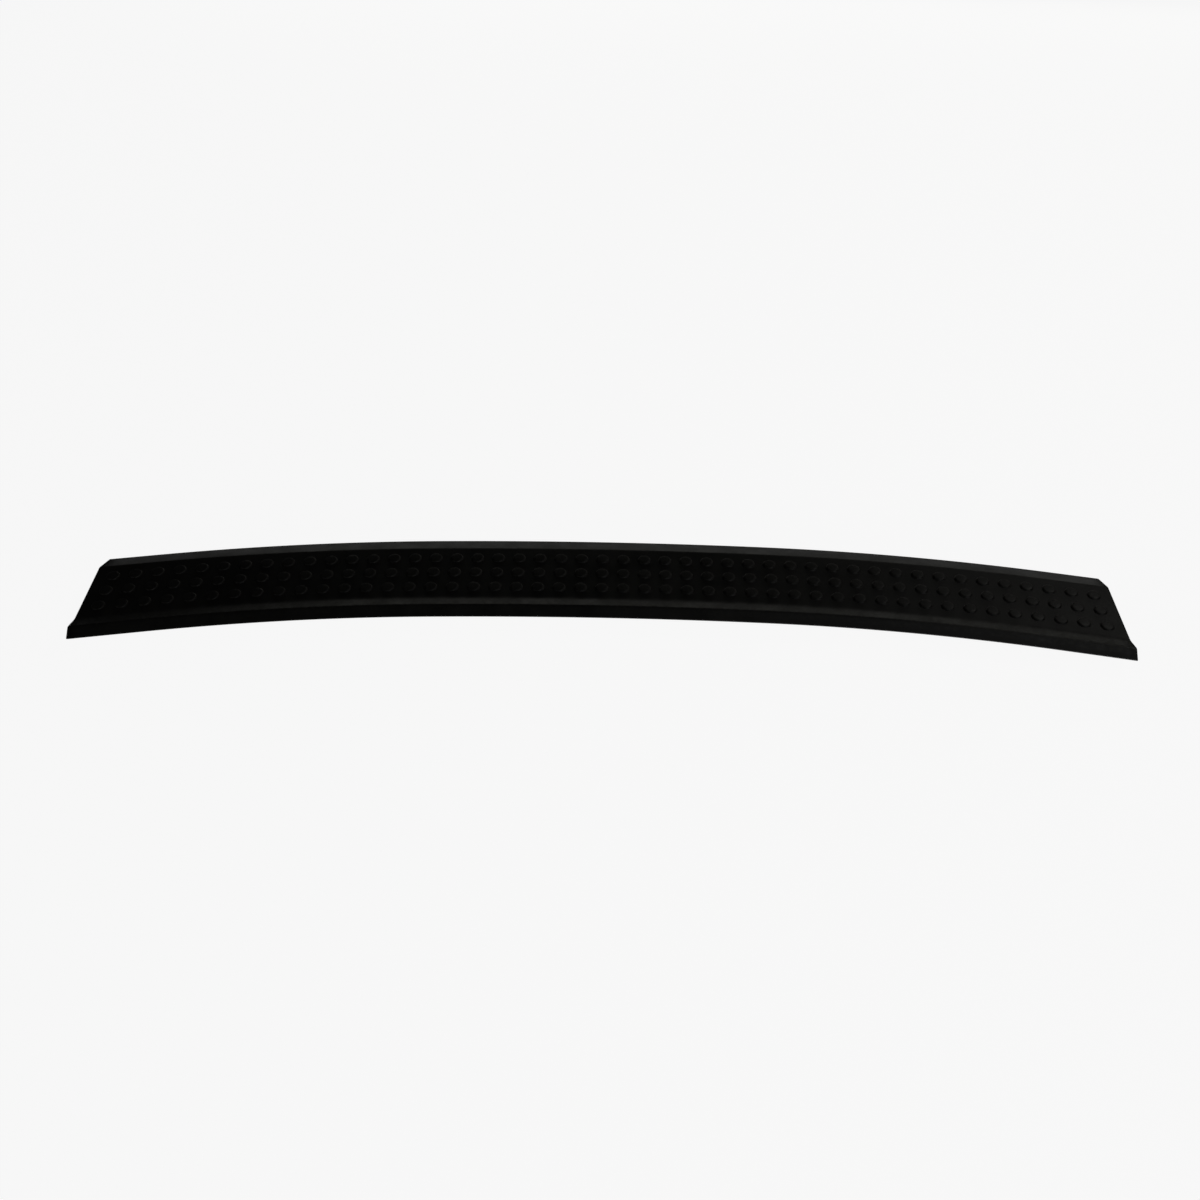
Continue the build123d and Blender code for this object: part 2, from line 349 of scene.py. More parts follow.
def rubGroup():
    tree, source, sink = groupTree(
        "rubbedHigh",
        [("Vector", "NodeSocketVector", None), ("Level", "NodeSocketFloat", 0.0125),
         ("Band", "NodeSocketFloat", 0.0008), ("Amount", "NodeSocketFloat", 0.5)],
        [("Mask", "NodeSocketFloat")],
    )
    split = tree.nodes.new("ShaderNodeSeparateXYZ")
    tree.links.new(source.outputs["Vector"], split.inputs[0])
    upper = addMath(tree, "ADD", source.outputs["Level"], source.outputs["Band"])
    high = addStep(tree, split.outputs["Z"], (source.outputs["Level"], upper))
    noise = addNoise(tree, source.outputs["Vector"], rubLook["scale"], rubLook["detail"])
    rubbed = addMath(tree, "MULTIPLY", high, addStep(tree, noise, rubLook["broken"]))
    mask = addMath(tree, "MULTIPLY", rubbed, source.outputs["Amount"], clamp=True)
    tree.links.new(mask, sink.inputs["Mask"])
    return tree


groups = {"grain": grainGroup(), "dust": dustGroup(), "rub": rubGroup()}


def placeGroup(tree, key, vector, **values):
    node = tree.nodes.new("ShaderNodeGroup")
    node.node_tree = groups[key]
    tree.links.new(vector, node.inputs["Vector"])
    for label, value in values.items():
        feed(tree, node.inputs[label], value)
    return node


# how much rougher dust makes a surface, and how much smoother rubbing does
wearLook = {"dustRoughness": 0.35, "rubRoughness": -0.10}
mottleLook = {"detail": 4.0, "edges": (0.3, 0.7)}


# a moulded material: a mottled colour, then dust and rubbed marks, over grain in the bump
def mouldedMaterial(name, look):
    material = bpy.data.materials.new(name)
    material.use_nodes = True
    tree = material.node_tree
    shader = tree.nodes["Principled BSDF"]
    vector = tree.nodes.new("ShaderNodeTexCoord").outputs["Object"]
    grain = placeGroup(tree, "grain", vector, Cell=look["grainCell"])
    patches = addNoise(tree, vector, look["mottleScale"], mottleLook["detail"])
    mottle = addStep(tree, patches, mottleLook["edges"])
    colour = addMix(tree, mottle, look["colour"], look["colourTwo"])
    dust = placeGroup(tree, "dust", vector, Valley=grain.outputs["Valley"], Amount=look["dust"])
    dusty = dust.outputs["Mask"]
    colour = addMix(tree, dusty, colour, look["dustColour"])
    rub = placeGroup(tree, "rub", vector, Level=look["rubLevel"], Amount=look["rub"])
    rubbed = rub.outputs["Mask"]
    colour = addMix(tree, rubbed, colour, look["rubColour"])
    tree.links.new(colour, shader.inputs["Base Color"])
    rough = addMath(tree, "MULTIPLY_ADD", mottle, look["roughnessSpread"], look["roughness"])
    rough = addMath(tree, "MULTIPLY_ADD", dusty, wearLook["dustRoughness"], rough)
    rough = addMath(tree, "MULTIPLY_ADD", rubbed, wearLook["rubRoughness"], rough, clamp=True)
    tree.links.new(rough, shader.inputs["Roughness"])
    shader.inputs["Specular IOR Level"].default_value = look["specular"]
    bump = tree.nodes.new("ShaderNodeBump")
    bump.inputs["Strength"].default_value = look["bumpStrength"]
    bump.inputs["Distance"].default_value = look["bumpDepth"]
    tree.links.new(grain.outputs["Height"], bump.inputs["Height"])
    tree.links.new(bump.outputs["Normal"], shader.inputs["Normal"])
    return material


blackTpo = mouldedMaterial("blackTpo", {
    "colour": (0.0040, 0.0040, 0.0034), "colourTwo": (0.0062, 0.0061, 0.0054),
    "dustColour": (0.060, 0.055, 0.046), "rubColour": (0.016, 0.016, 0.014),
    "mottleScale": 30.0, "grainCell": 0.0009, "dust": 0.05, "rub": 0.5, "rubLevel": 0.0124,
    "roughness": 0.40, "roughnessSpread": 0.10, "specular": 0.35,
    "bumpStrength": 0.35, "bumpDepth": 0.00006,
})
naturalNylon = mouldedMaterial("naturalNylon", {
    "colour": (0.66, 0.63, 0.55), "colourTwo": (0.72, 0.70, 0.62),
    "dustColour": (0.35, 0.32, 0.28), "rubColour": (0.80, 0.78, 0.72),
    "mottleScale": 120.0, "grainCell": 0.0005, "dust": 0.05, "rub": 0.2, "rubLevel": 0.0074,
    "roughness": 0.34, "roughnessSpread": 0.08, "specular": 0.5,
    "bumpStrength": 0.15, "bumpDepth": 0.00002,
})
sealRubber = mouldedMaterial("sealRubber", {
    "colour": (0.016, 0.016, 0.016), "colourTwo": (0.026, 0.026, 0.025),
    "dustColour": (0.09, 0.085, 0.075), "rubColour": (0.04, 0.04, 0.04),
    "mottleScale": 200.0, "grainCell": 0.0004, "dust": 0.10, "rub": 0.1, "rubLevel": 0.0014,
    "roughness": 0.62, "roughnessSpread": 0.10, "specular": 0.4,
    "bumpStrength": 0.3, "bumpDepth": 0.00003,
})
cellFoam = mouldedMaterial("cellFoam", {
    "colour": (0.030, 0.030, 0.031), "colourTwo": (0.050, 0.050, 0.052),
    "dustColour": (0.10, 0.095, 0.085), "rubColour": (0.06, 0.06, 0.06),
    "mottleScale": 260.0, "grainCell": 0.0007, "dust": 0.12, "rub": 0.0, "rubLevel": 0.02,
    "roughness": 0.86, "roughnessSpread": 0.08, "specular": 0.25,
    "bumpStrength": 0.9, "bumpDepth": 0.0003,
})
print("stage: materials ready")


# the skin: the section's wall carried along the plan, closed by a wall at each end
topCorners = [
    (-fieldHalf - section["rampWidth"] - section["noseWidth"],
     section["fieldTop"] + section["rampRise"] - section["noseDrop"]),
    (-fieldHalf - section["rampWidth"], section["fieldTop"] + section["rampRise"]),
    (-fieldHalf, section["fieldTop"]),
    (fieldHalf, section["fieldTop"]),
    (fieldHalf + section["bandWidth"], section["fieldTop"] - section["bandDrop"]),
]


# the wall in section as two lines of paired points: outer along the top, inner a wall's
# thickness below along the normal, and both turned round the lips by quarter circles
def wallHalves():
    radii = [section["crestRadius"], section["footRadius"], section["borderRadius"]]
    line, normal = roundedLine(topCorners, radii, section["arcSteps"])
    wall, r = section["wall"], section["lipRadius"]
    halves = {"outer": [], "inner": [], "outerNormal": [], "innerNormal": []}
    quarter = np.linspace(0, math.pi / 2, section["lipSteps"])[:, None]
    for end in (0, -1):
        n = normal[end]
        out = np.array([-n[1], n[0]]) if end == 0 else np.array([n[1], -n[0]])
        upper = out * np.sin(quarter) + n * np.cos(quarter)
        lower = out * np.sin(quarter) - n * np.cos(quarter)
        block = {
            "outer": line[end] - r * out - r * n + r * upper,
            "inner": line[end] - r * out - (wall - r) * n + r * lower,
            "outerNormal": upper,
            "innerNormal": lower,
        }
        for key, rows in block.items():
            halves[key].append(rows[::-1] if end == 0 else rows)
    main = slice(1, -1)
    blocks = {
        "outer": line[main], "inner": line[main] - wall * normal[main],
        "outerNormal": normal[main], "innerNormal": -normal[main],
    }
    return {
        key: np.concatenate([halves[key][0], blocks[key], halves[key][1]])
        for key in blocks
    }


wallLine = wallHalves()


# height of the wall's underside at distance u across the pad
def underside(u):
    order = np.argsort(wallLine["inner"][:, 0])
    return np.interp(u, wallLine["inner"][order, 0], wallLine["inner"][order, 1])


# loops along X: outer points and inner points of the wall; at the ends the inner points drop
# to the end wall's foot line, and the last loops shrink on a quarter circle to round the edge
def padSkin():
    half, wall, r = plan["halfLength"], section["wall"], section["lipRadius"]
    outer, inner = wallLine["outer"], wallLine["inner"]
    lips = section["lipSteps"]
    foot = inner.copy()
    foot[:, 1] = np.minimum(inner[:, 1], np.interp(
        inner[:, 0],
        [inner[lips, 0], -endWallFoot, endWallFoot, inner[-lips - 1, 0]],
        [inner[lips, 1], 0.0, 0.0, inner[-lips - 1, 1]],
    ))
    footNormal = wallLine["innerNormal"].copy()
    footNormal[lips:-lips] = (0.0, -1.0)
    quarter = np.linspace(math.pi / 2, 0, section["lipSteps"])
    endX = half - r + r * np.sin(quarter)
    inset = r * (1 - np.cos(quarter))
    rows = [
        (x, outer - d * wallLine["outerNormal"], foot - d * footNormal)
        for x, d in zip(endX, inset)
    ]
    rows.append((half - wall, outer, foot))
    stations = np.linspace(wall - half, half - wall, plan["stations"])
    middle = [(x, outer, inner) for x in stations]
    left = [(-x, a, b) for x, a, b in rows]
    allRows = left + middle + rows[::-1]
    x = np.array([row[0] for row in allRows])[:, None]
    loop = np.array([np.concatenate([row[1], row[2][::-1]]) for row in allRows])
    shell = tube(alongPlan(x, loop[..., 0], loop[..., 1]))
    return makePiece("padSkin", [shell], blackTpo, "pad")


# studs: a crowned top, a round shoulder and a small flare where it meets the field
stud = {
    "pitch": 31.75, "rows": 3, "radius": 10.0, "height": 2.4, "shoulder": 7.6,
    "shoulderHeight": 2.2, "shoulderAngles": (22.0, 44.0, 64.0, 82.0), "crownSteps": 3,
    "endMargin": 22.0, "flare": 0.5, "root": 0.4, "rootInset": 0.4, "segments": 28,
}


# radius and height down the stud: a shallow parabola to the shoulder, then a quarter ellipse
# to the base, then the flare, and a root inside the wall
def studProfile():
    t = np.linspace(0, 1, stud["crownSteps"] + 1)[1:]
    fall = stud["height"] - stud["shoulderHeight"]
    crown = np.stack([stud["shoulder"] * t, stud["height"] - fall * t**2], 1)
    a = np.radians(stud["shoulderAngles"])
    width = stud["radius"] - stud["flare"] - stud["shoulder"]
    out = stud["shoulder"] + width * np.sin(a)
    shoulder = np.stack([out, stud["shoulderHeight"] * np.cos(a)], 1)
    base = [(stud["radius"], 0.0), (stud["radius"] - stud["rootInset"], -stud["root"])]
    return np.concatenate([crown, shoulder, base])


# a shape turned about Z: rings of points at each profile radius and height, squared up by a
# superellipse where its power is over 2, with its first and last rings closed to a point
def turned(profile, segments, power=2.0):
    a = np.linspace(0, 2 * math.pi, segments, endpoint=False)
    p = np.broadcast_to(np.asarray(power, float), (len(profile),))[:, None]
    c, s = np.abs(np.cos(a))[None], np.abs(np.sin(a))[None]
    stretch = (c**p + s**p) ** (-1 / p)
    r = profile[:, :1] * stretch
    rings = np.stack([r * np.cos(a), r * np.sin(a), profile[:, 1:2] + 0 * r], -1)
    tip = profile[0, 1], profile[-1, 1]
    verts = np.concatenate([rings.reshape(-1, 3), [[0, 0, tip[0]], [0, 0, tip[1]]]])
    rows = len(profile)
    quads = gridQuads(rows, segments, wrap=True)
    j = np.arange(0, segments, 2)
    top, low = rows * segments, rows * segments + 1
    last = (rows - 1) * segments
    second, third = (j + 1) % segments, (j + 2) % segments
    capTop = np.stack([j, 0 * j + top, third, second], 1)
    capLow = np.stack([last + j, last + second, last + third, 0 * j + low], 1)
    return verts, np.concatenate([quads, capTop, capLow])


def treadStuds():
    columns = int((plan["halfLength"] - stud["endMargin"]) / stud["pitch"])
    x = np.arange(-columns, columns + 1) * stud["pitch"]
    rows = (np.arange(stud["rows"]) - (stud["rows"] - 1) / 2) * stud["pitch"]
    gridX, gridRow = np.meshgrid(x, rows)
    places = np.stack([gridX, planY(gridX, 0.0) + gridRow, 0 * gridX + section["fieldTop"]], -1)
    verts, quads = turned(studProfile(), stud["segments"])
    shell = copies(verts, quads, places.reshape(-1, 3))
    print("stage:", len(places.reshape(-1, 3)), "studs")
    return makePiece("treadStuds", [shell], blackTpo, "pad")


# ribs under the field, tapered towards rounded feet
rib = {
    "thickness": 2.0, "footThickness": 1.7, "footRound": 0.6, "footSteps": 4, "taperFrom": 0.2,
    "outerInset": 2.5, "innerOffset": 17.5, "perBay": 4, "sink": 0.6,
}
clipRow = {"perRow": 6, "endInset": 121.5}
outerRib = fieldHalf - rib["outerInset"]
clipOffset = (outerRib + rib["innerOffset"]) / 2
clipPitch = 2 * (plan["halfLength"] - clipRow["endInset"]) / (clipRow["perRow"] - 1)
ribPitch = clipPitch / rib["perBay"]


# half section of a rib: from its sunk top down the tapered side and round the foot, and back
def ribLoop():
    root, foot = rib["thickness"] / 2, rib["footThickness"] / 2
    bend = rib["footRound"]
    a = np.linspace(0, math.pi / 2, rib["footSteps"])
    side = [(root, plateUnder + rib["sink"]), (root, plateUnder - rib["taperFrom"])]
    turn = np.stack([foot - bend + bend * np.cos(a), bend - bend * np.sin(a)], 1)
    right = np.concatenate([side, turn])
    left = right * (-1, 1)
    return np.concatenate([right, left[::-1]])


def underRibs():
    loop = ribLoop()
    half = plan["halfLength"] - section["wall"] + rib["sink"]
    x = np.linspace(-half, half, plan["stations"])[:, None]
    shells = []
    for offset in (-outerRib, -rib["innerOffset"], rib["innerOffset"], outerRib):
        u = offset + loop[None, :, 0]
        shells.append(tube(alongPlan(x, u, loop[None, :, 1])))
    count = int((plan["halfLength"] - section["wall"] - rib["thickness"]) / ribPitch + 0.5)
    side = (np.arange(count) + 0.5) * ribPitch
    y = np.array([-outerRib, outerRib])[:, None]
    width, height = loop[None, :, 0], loop[None, :, 1]
    cross = np.stack([width + 0 * y, y + 0 * width, height + 0 * y], -1)
    verts, quads = tube(cross)
    places = [(value, planY(value, 0.0), 0.0) for value in np.concatenate([-side, side])]
    shells.append(copies(verts, quads, places))
    return makePiece("underRibs", shells, blackTpo, "pad")


# doghouse towers: a wall round three sides and a shelf with a keyed slot
tower = {
    "headSize": 14.0, "clearance": 0.3, "float": 3.0, "neckRadius": 3.0, "wall": 2.0,
    "shelfLow": 3.8, "shelfHigh": 5.8, "detentDepth": 0.7, "detentLength": 2.0,
    "detentSpread": 0.6, "edge": 0.3, "cornerRadius": 1.0, "cornerSteps": 5,
    "slotSteps": 25, "sideSteps": 40, "shelfBevel": 0.06,
}


def clipPlaces():
    x = -plan["halfLength"] + clipRow["endInset"] + clipPitch * np.arange(clipRow["perRow"])
    return {
        (row, number + 1): (x[number], float(planY(x[number], 0.0)) + side * clipOffset)
        for row, side in (("inner", -1), ("outer", 1))
        for number in range(clipRow["perRow"])
    }


def doghouses():
    inside = tower["headSize"] / 2 + tower["clearance"]
    back = -(inside + tower["float"])
    mouth = -back + tower["detentLength"]
    corners = [(mouth, inside), (back, inside), (back, -inside), (mouth, -inside)]
    line, normal = roundedLine(corners, [tower["cornerRadius"]] * 2, tower["cornerSteps"])
    line, normal = line[::-1], normal[::-1]
    edge, wall = tower["edge"], tower["wall"]
    low, high = tower["shelfLow"], plateUnder + rib["sink"]
    profile = np.array([
        (0, high), (0, low + edge), (edge, low),
        (wall - edge, low), (wall, low + edge), (wall, high),
    ])
    sides = line[:, None, :] - normal[:, None, :] * profile[None, :, :1]
    heights = np.broadcast_to(profile[None, :, 1:], (*sides.shape[:2], 1))
    shellWall = tube(np.concatenate([sides, heights], -1))
    slot = tower["neckRadius"] + tower["clearance"]
    turn = np.radians(np.linspace(90, 270, tower["slotSteps"]))
    ray = np.stack([np.cos(turn), np.sin(turn)], 1)
    reach = inside + wall / 2
    centre = np.array([-tower["float"], 0.0])
    roundSlot = centre + slot * ray
    roundWall = centre + ray * reach / np.abs(ray).max(1, keepdims=True)
    x = np.linspace(mouth, -tower["float"], tower["sideSteps"])[:-1]
    # the detent narrows the slot's mouth by a squared cosine of the distance from its middle
    detentX = tower["float"] + slot + tower["detentLength"] / 2
    away = (x - detentX) / (tower["detentSpread"] * tower["detentLength"])
    bulge = np.where(np.abs(away) < 1, np.cos(np.clip(away, -1, 1) * math.pi / 2) ** 2, 0)
    half = slot - tower["detentDepth"] * bulge
    slotSide, wallSide = np.stack([x, half], 1), np.stack([x, reach + 0 * x], 1)
    flip = np.array([1, -1])
    slotEdge = np.concatenate([slotSide, roundSlot, (slotSide * flip)[::-1]])
    wallEdge = np.concatenate([wallSide, roundWall, (wallSide * flip)[::-1]])
    bevel, thick = tower["shelfBevel"], tower["shelfHigh"] - low
    across = np.array([1.0, bevel, 0.0, 0.0, bevel, 1.0])[None, :, None]
    up = np.array([0, 0, edge, thick - edge, thick, thick])
    flat = slotEdge[:, None] * (1 - across) + wallEdge[:, None] * across
    heights = np.broadcast_to((low + up)[None, :, None], (*flat.shape[:2], 1))
    shellShelf = tube(np.concatenate([flat, heights], -1))
    places, turns = [], []
    for x, y in clipPlaces().values():
        places.append((x, y, 0.0))
        turns.append(math.pi if x < 0 else 0.0)
    shells = [copies(*shellWall, places, turns), copies(*shellShelf, places, turns)]
    return makePiece("doghouses", shells, blackTpo, "pad")


# locating pins on their bosses; the flare is pairs of out and down where a boss meets the
# wall, and the tip's curve is pairs of in and up as shares of the tip
pin = {
    "radius": 4.0, "length": 12.0, "tip": 1.5, "bossRadius": 7.0, "edge": 0.4, "segments": 40,
    "flare": ((0.8, 0.0), (0.25, 0.3), (0.0, 0.9)),
    "tipCurve": ((0.0, 1.0), (0.08, 0.6), (0.5, 0.25), (1.0, 0.0)),
}


def locatingPins():
    r, length, tip = pin["radius"], pin["length"], pin["tip"]
    boss, edge = pin["bossRadius"], pin["edge"]
    profile = np.array([
        (boss + pin["flare"][0][0], plateUnder + rib["sink"]),
        *[(boss + out, plateUnder - down) for out, down in pin["flare"]],
        (boss, edge), (boss - edge / 3, edge / 3), (boss - edge, 0.0),
        (r + edge, 0.0), (r + edge / 3, -edge / 3), (r, -edge),
        *[(r - tip * inward, tip * up - length) for inward, up in pin["tipCurve"]],
    ])
    endX = plan["halfLength"] - clipRow["endInset"] - ribPitch
    places = [(x, float(planY(x, 0.0)), 0.0) for x in (-endX, 0.0, endX)]
    shell = copies(*turned(profile, pin["segments"]), places)
    return makePiece("locatingPins", [shell], blackTpo, "pad")


moulding = [padSkin(), treadStuds(), underRibs(), doghouses(), locatingPins()]
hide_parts("pad_moulding")
print("stage: moulding made")


# push-in retainers: a square head, a neck, a collar and a barbed shank
retainer = {
    "headTop": 7.7, "headUnder": 6.1, "neck": 3.0, "collarTop": 3.5, "collarUnder": 1.5,
    "collar": 8.0, "shank": 2.6, "length": 15.0, "barbs": 3, "barb": 4.3, "firstBarb": 2.6,
    "barbPitch": 3.5, "barbHeight": 2.2, "tip": 1.2, "tipLength": 2.4, "squareness": 10.0,
    "crown": 0.5, "segments": 40,
}
# rounded edges as pairs of out and up from each sharp corner, in order down the profile
retainerEdges = {
    "headTop": ((-0.9, 0.0), (-0.35, -0.1), (-0.08, -0.35), (0.0, -0.7)),
    "headUnder": ((0.0, 0.4), (-0.12, 0.12), (-0.4, 0.0)),
    "neckTop": ((0.5, 0.0), (0.12, -0.1), (0.0, -0.4)),
    "neckFoot": ((0.0, 0.4), (0.12, 0.1), (0.5, 0.0)),
    "collarTop": ((-0.5, 0.0), (-0.12, -0.15), (0.0, -0.5)),
    "collarUnder": ((0.0, 0.4), (-0.12, 0.1), (-0.5, 0.0)),
    "barbRoot": ((0.0, 0.0), (0.25, -0.02)),
    "barbEdge": ((-0.2, -0.02), (0.0, -0.25), (-0.15, -0.55)),
    "tip": ((0.3, 0.5), (-0.2, 0.1), (-0.7, 0.0)),
}


def retainerShape():
    k, half = retainer, tower["headSize"] / 2
    rows = [(half * k["crown"], k["headTop"], k["squareness"])]

    def corner(radius, height, edge, power=2.0):
        rows.extend((radius + out, height + up, power) for out, up in retainerEdges[edge])

    corner(half, k["headTop"], "headTop", k["squareness"])
    corner(half, k["headUnder"], "headUnder", k["squareness"])
    corner(k["neck"], k["headUnder"], "neckTop")
    corner(k["neck"], k["collarTop"], "neckFoot")
    corner(k["collar"], k["collarTop"], "collarTop")
    corner(k["collar"], k["collarUnder"], "collarUnder")
    rows.append((k["shank"], k["collarUnder"], 2.0))
    for index in range(k["barbs"]):
        z = -k["firstBarb"] - index * k["barbPitch"]
        corner(k["shank"], z, "barbRoot")
        corner(k["barb"], z, "barbEdge")
        rows.append((k["shank"], z - k["barbHeight"], 2.0))
    rows.append((k["shank"], k["tipLength"] - k["length"], 2.0))
    corner(k["tip"], -k["length"], "tip")
    rows = np.array(rows)
    return turned(rows[:, :2], k["segments"], rows[:, 2])


washer = {"outer": 9.0, "bore": 2.8, "thick": 1.5, "edge": 0.35, "segments": 48}


# a ring closed round itself: a rounded oblong carried round Z
def washerShape():
    bore, outer, thick, e = washer["bore"], washer["outer"], washer["thick"], washer["edge"]
    loop = np.array([
        (bore, e), (bore, thick - e), (bore + e / 3, thick - e / 3),
        (bore + e, thick), (outer - e, thick), (outer - e / 3, thick - e / 3),
        (outer, thick - e), (outer, e), (outer - e / 3, e / 3),
        (outer - e, 0.0), (bore + e, 0.0), (bore + e / 3, e / 3),
    ])
    a = np.linspace(0, 2 * math.pi, washer["segments"], endpoint=False)[:, None]
    verts = np.stack([loop[:, 0] * np.cos(a), loop[:, 0] * np.sin(a), loop[:, 1] + 0 * a], -1)
    rows, cols = verts.shape[:2]
    closed = gridQuads(rows + 1, cols, wrap=True) % (rows * cols)
    return verts.reshape(-1, 3), closed


retainerMesh, washerMesh = retainerShape(), washerShape()
for (row, number), (x, y) in clipPlaces().items():
    body = f"retainer_{row}_{number}"
    place = [(x, y, 0.0)]
    clipShell, ringShell = copies(*retainerMesh, place), copies(*washerMesh, place)
    piece = makePiece(f"clipForm_{row}_{number}", [clipShell], naturalNylon, body)
    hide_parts(f"clip_{row}_{number}")
    ring = makePiece(f"sealRing_{row}_{number}", [ringShell], sealRubber, body)
    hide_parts(f"washer_{row}_{number}")
print("stage: retainers and washers made")


# foam strips: soft-edged bars carried along the pad, with a slight cut waviness
foam = {
    "gap": 0.1, "roofGap": 0.13, "endInset": 9.0, "middleGap": 8.0, "lipWidth": 14.0,
    "lipProud": 0.9, "bandWidth": 14.0, "bandThick": 4.0, "bandFrom": 12.0, "edge": 0.9,
    "squareness": 8, "wave": 0.08, "fineWave": 0.21, "slowWave": 0.043, "phase": 1.0,
    "sectionSteps": 13, "stations": 90,
}


# shares of a strip's half width from edge to edge, and how far its faces draw in there
def foamAcross():
    along = np.sin(np.linspace(-math.pi / 2, math.pi / 2, foam["sectionSteps"]))
    drawnIn = foam["edge"] * (1 - np.sqrt(np.clip(1 - along ** foam["squareness"], 0, 1)))
    return along, drawnIn


# section of the strip in the lip's hollow: its roof follows the wall, its floor is flat
def lipFoamLoop():
    crest = -fieldHalf - section["rampWidth"]
    low = section["fieldTop"] + section["rampRise"] - section["noseDrop"] - foam["lipProud"]
    along, edge = foamAcross()
    u = crest + foam["lipWidth"] / 2 * along
    roof, floor = underside(u) - foam["roofGap"] - edge, low + edge
    return np.concatenate([np.stack([u, roof], 1), np.stack([u, floor], 1)[::-1]])


# section of the strip under the band: a rounded oblong turned to the band's slope
def bandFoamLoop():
    slope = math.atan2(section["bandDrop"], section["bandWidth"])
    along, edge = foamAcross()
    a = foam["bandFrom"] + foam["bandWidth"] / 2 * (1 + along)
    top = section["wall"] + foam["gap"] + edge
    bottom = section["wall"] + foam["gap"] + foam["bandThick"] - edge
    a, down = np.concatenate([a, a[::-1]]), np.concatenate([top, bottom[::-1]])
    u = fieldHalf + a * math.cos(slope) - down * math.sin(slope)
    z = section["fieldTop"] - a * math.sin(slope) - down * math.cos(slope)
    return np.stack([u, z], 1)


def foamStrip(name, node, loop, side):
    near = foam["middleGap"] / 2
    far = plan["halfLength"] - section["wall"] - foam["endInset"]
    x = side * np.linspace(near, far, foam["stations"])[:, None]
    ripple = np.sin(x * foam["fineWave"]) * np.sin(x * foam["slowWave"] + foam["phase"])
    shrink = foam["wave"] * (1 + ripple)
    middle = loop.mean(0)
    size = np.abs(loop - middle).max(0)
    u = loop[None, :, 0] - shrink * (loop[None, :, 0] - middle[0]) / size[0]
    z = loop[None, :, 1] - shrink * (loop[None, :, 1] - middle[1]) / size[1]
    piece = makePiece(name, [tube(alongPlan(x, u, z))], cellFoam, "pad", sharpAngle=60.0)
    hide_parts(node)
    return piece


for hand, side in (("left", -1), ("right", 1)):
    foamStrip(f"lipFoam_{hand}", f"foam_lip_{hand}", lipFoamLoop(), side)
    foamStrip(f"bandFoam_{hand}", f"foam_band_{hand}", bandFoamLoop(), side)
print("stage: foam strips made")


# floor, lights and camera
floorLevel = cadBox[0][2]
studio = {
    "floorSize": 16.0, "floorGlow": 0.92, "floorReflected": 0.13, "floorColour": 0.12,
    "world": 0.012,
}
warm, warmer, white = (1.0, 0.99, 0.94), (1.0, 1.0, 0.92), (1.0, 1.0, 1.0)
# each soft box: its place, the point it is turned towards, width and height, power, colour
softBoxes = {
    "keyBox": ((2.0, 1.0, 2.2), (0.2, 0.0, 0.0), (1.0, 0.8), 3.5, warm),
    "rearBox": ((1.9, 1.9, 2.0), (0.2, 0.0, 0.0), (1.6, 1.4), 0.7, warm),
    "rearStrip": ((0.5, 3.2, 0.4), (0.1, 0.0, 0.0), (4.5, 0.5), 4.0, warmer),
    "overheadFill": ((1.5, -0.9, 2.1), (0.3, 0.0, 0.0), (1.2, 0.8), 2.5, white),
    "frontStrip": ((1.8, -3.0, 0.8), (0.0, 0.0, 0.0), (3.6, 1.0), 11.0, white),
    "leftStrip": ((-2.6, -2.2, 0.9), (0.0, 0.0, 0.0), (2.4, 1.0), 3.5, white),
    "underBox": ((1.1, -1.3, -1.4), (0.0, 0.0, 0.0), (1.6, 0.8), 60.0, white),
    "underFill": ((-1.3, 0.9, -1.6), (0.0, 0.0, 0.0), (2.0, 1.2), 20.0, white),
}


# the floor glows white to the camera and dimly to reflections; from below it is clear, and
# the lights under it shine through
def paleFloor():
    half = studio["floorSize"] / 2
    mesh = bpy.data.meshes.new("paleFloor")
    square = ((-half, -half), (half, -half), (half, half), (-half, half))
    corners = [(x, y, floorLevel) for x, y in square]
    mesh.from_pydata(corners, [], [(0, 1, 2, 3)])
    material = bpy.data.materials.new("palePaper")
    material.use_nodes = True
    shader = material.node_tree.nodes["Principled BSDF"]
    level = studio["floorColour"]
    shader.inputs["Base Color"].default_value = (level, level, level, 1.0)
    shader.inputs["Roughness"].default_value = 0.9
    shader.inputs["Specular IOR Level"].default_value = 0.1
    shader.inputs["Emission Color"].default_value = (1.0, 1.0, 1.0, 1.0)
    tree = material.node_tree
    rays = tree.nodes.new("ShaderNodeLightPath")
    spread = studio["floorGlow"] - studio["floorReflected"]
    seen = rays.outputs["Is Camera Ray"]
    glow = addMath(tree, "MULTIPLY_ADD", seen, spread, studio["floorReflected"])
    tree.links.new(glow, shader.inputs["Emission Strength"])
    clear = tree.nodes.new("ShaderNodeBsdfTransparent")
    sided = tree.nodes.new("ShaderNodeMixShader")
    below = tree.nodes.new("ShaderNodeNewGeometry").outputs["Backfacing"]
    through = addMath(tree, "MAXIMUM", below, rays.outputs["Is Shadow Ray"])
    tree.links.new(through, sided.inputs[0])
    tree.links.new(shader.outputs["BSDF"], sided.inputs[1])
    tree.links.new(clear.outputs["BSDF"], sided.inputs[2])
    tree.links.new(sided.outputs["Shader"], tree.nodes["Material Output"].inputs["Surface"])
    mesh.materials.append(material)
    floor = bpy.data.objects.new("paleFloor", mesh)
    bpy.context.scene.collection.objects.link(floor)


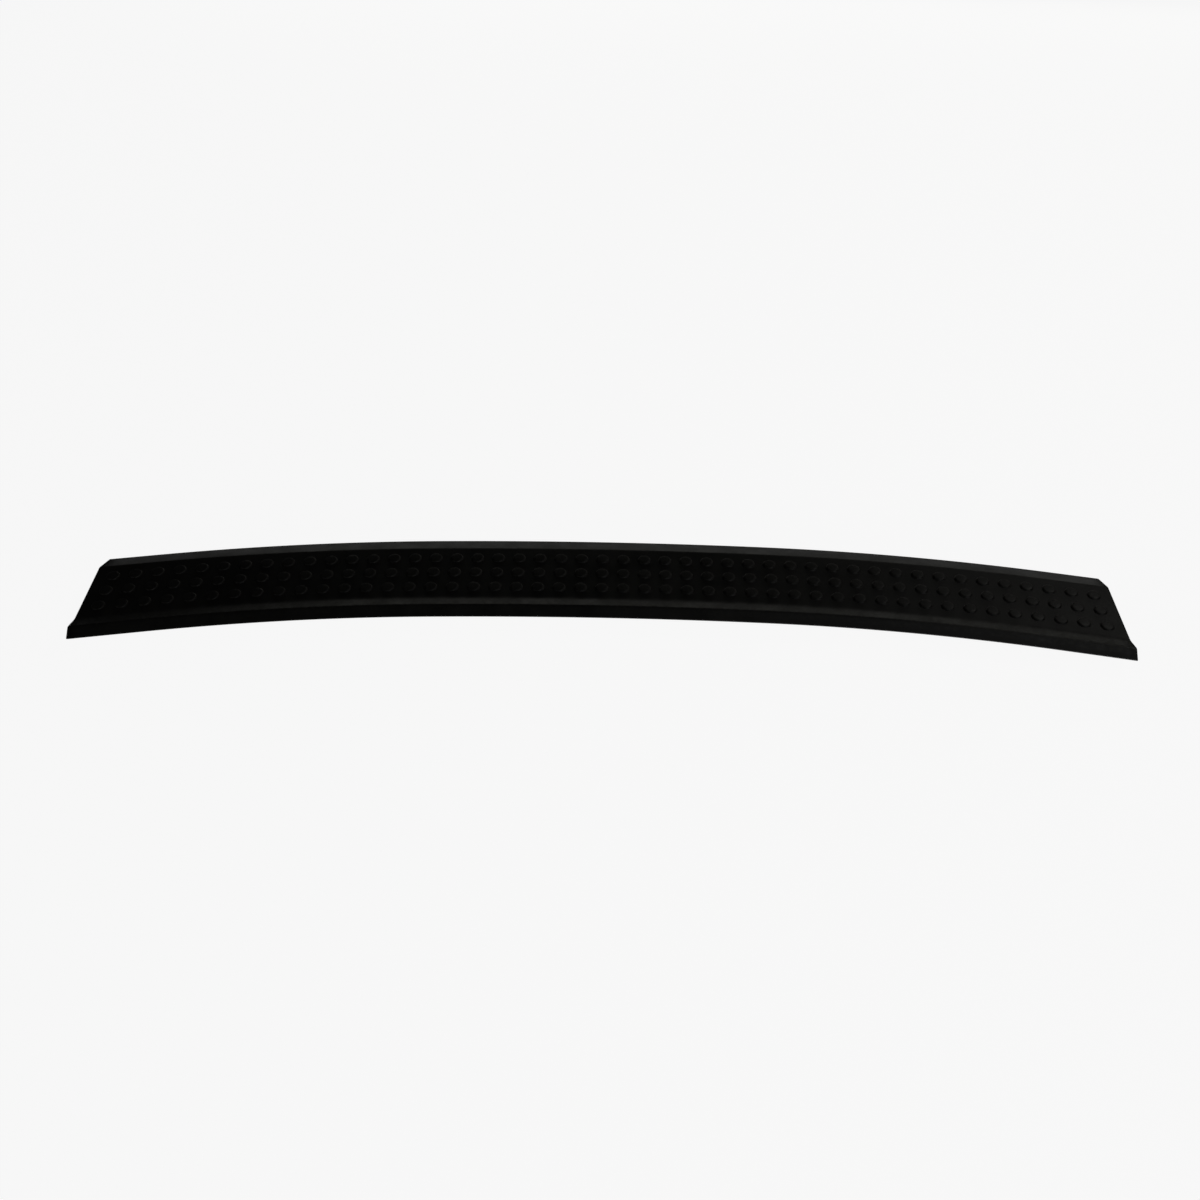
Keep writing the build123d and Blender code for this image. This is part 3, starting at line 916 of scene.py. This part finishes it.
# a soft box: a rectangle of light at a place, turned towards a point
def softBox(name, place, target, size, power, colour):
    lamp = bpy.data.lights.new(name, "AREA")
    lamp.shape = "RECTANGLE"
    lamp.size, lamp.size_y = size
    lamp.energy = power
    lamp.color = colour
    holder = bpy.data.objects.new(name, lamp)
    aim = (Vector(target) - Vector(place)).to_track_quat("-Z", "Y").to_matrix().to_4x4()
    holder.matrix_world = Matrix.Translation(place) @ aim
    holder.visible_camera = False
    bpy.context.scene.collection.objects.link(holder)


paleFloor()
for name, box in softBoxes.items():
    softBox(name, *box)

# the air behind the floor's edge: white to the camera, nearly black to everything else
world = bpy.data.worlds.new("studioAir")
world.use_nodes = True
airTree = world.node_tree
air = airTree.nodes["Background"]
air.inputs["Color"].default_value = (1.0, 1.0, 1.0, 1.0)
airSeen = airTree.nodes.new("ShaderNodeLightPath").outputs["Is Camera Ray"]
airSpread = studio["floorGlow"] - studio["world"]
airStrength = addMath(airTree, "MULTIPLY_ADD", airSeen, airSpread, studio["world"])
airTree.links.new(airStrength, air.inputs["Strength"])
bpy.context.scene.world = world

# the main view, turned and raised round its aim point, in degrees; the rest in metres, and
# the lens and sensor in millimetres
camera = {
    "azimuth": 0.64, "elevation": 42.96, "distance": 1.652, "lens": 33.0, "roll": 0.70,
    "aimHeight": section["fieldTop"] * mm, "aimAcross": -0.00795,
    "shiftX": -0.0016, "shiftY": -0.0191, "sensor": 36.0, "near": 0.02, "far": 60.0,
}


def addCamera():
    a, e = math.radians(camera["azimuth"]), math.radians(camera["elevation"])
    back = Vector((math.sin(a) * math.cos(e), -math.cos(a) * math.cos(e), math.sin(e)))
    target = Vector((0.0, camera["aimAcross"], camera["aimHeight"]))
    data = bpy.data.cameras.new("mainCamera")
    data.lens = camera["lens"]
    data.sensor_width = camera["sensor"]
    data.sensor_fit = "HORIZONTAL"
    data.shift_x, data.shift_y = camera["shiftX"], camera["shiftY"]
    data.clip_start, data.clip_end = camera["near"], camera["far"]
    holder = bpy.data.objects.new("mainCamera", data)
    turn = back.to_track_quat("Z", "Y").to_matrix().to_4x4()
    roll = Matrix.Rotation(math.radians(camera["roll"]), 4, "Z")
    holder.matrix_world = Matrix.Translation(target + back * camera["distance"]) @ turn @ roll
    bpy.context.scene.collection.objects.link(holder)
    bpy.context.scene.camera = holder


addCamera()
bpy.context.scene.view_settings.view_transform = "Standard"
bpy.context.scene.view_settings.look = "None"
print("stage: studio ready")
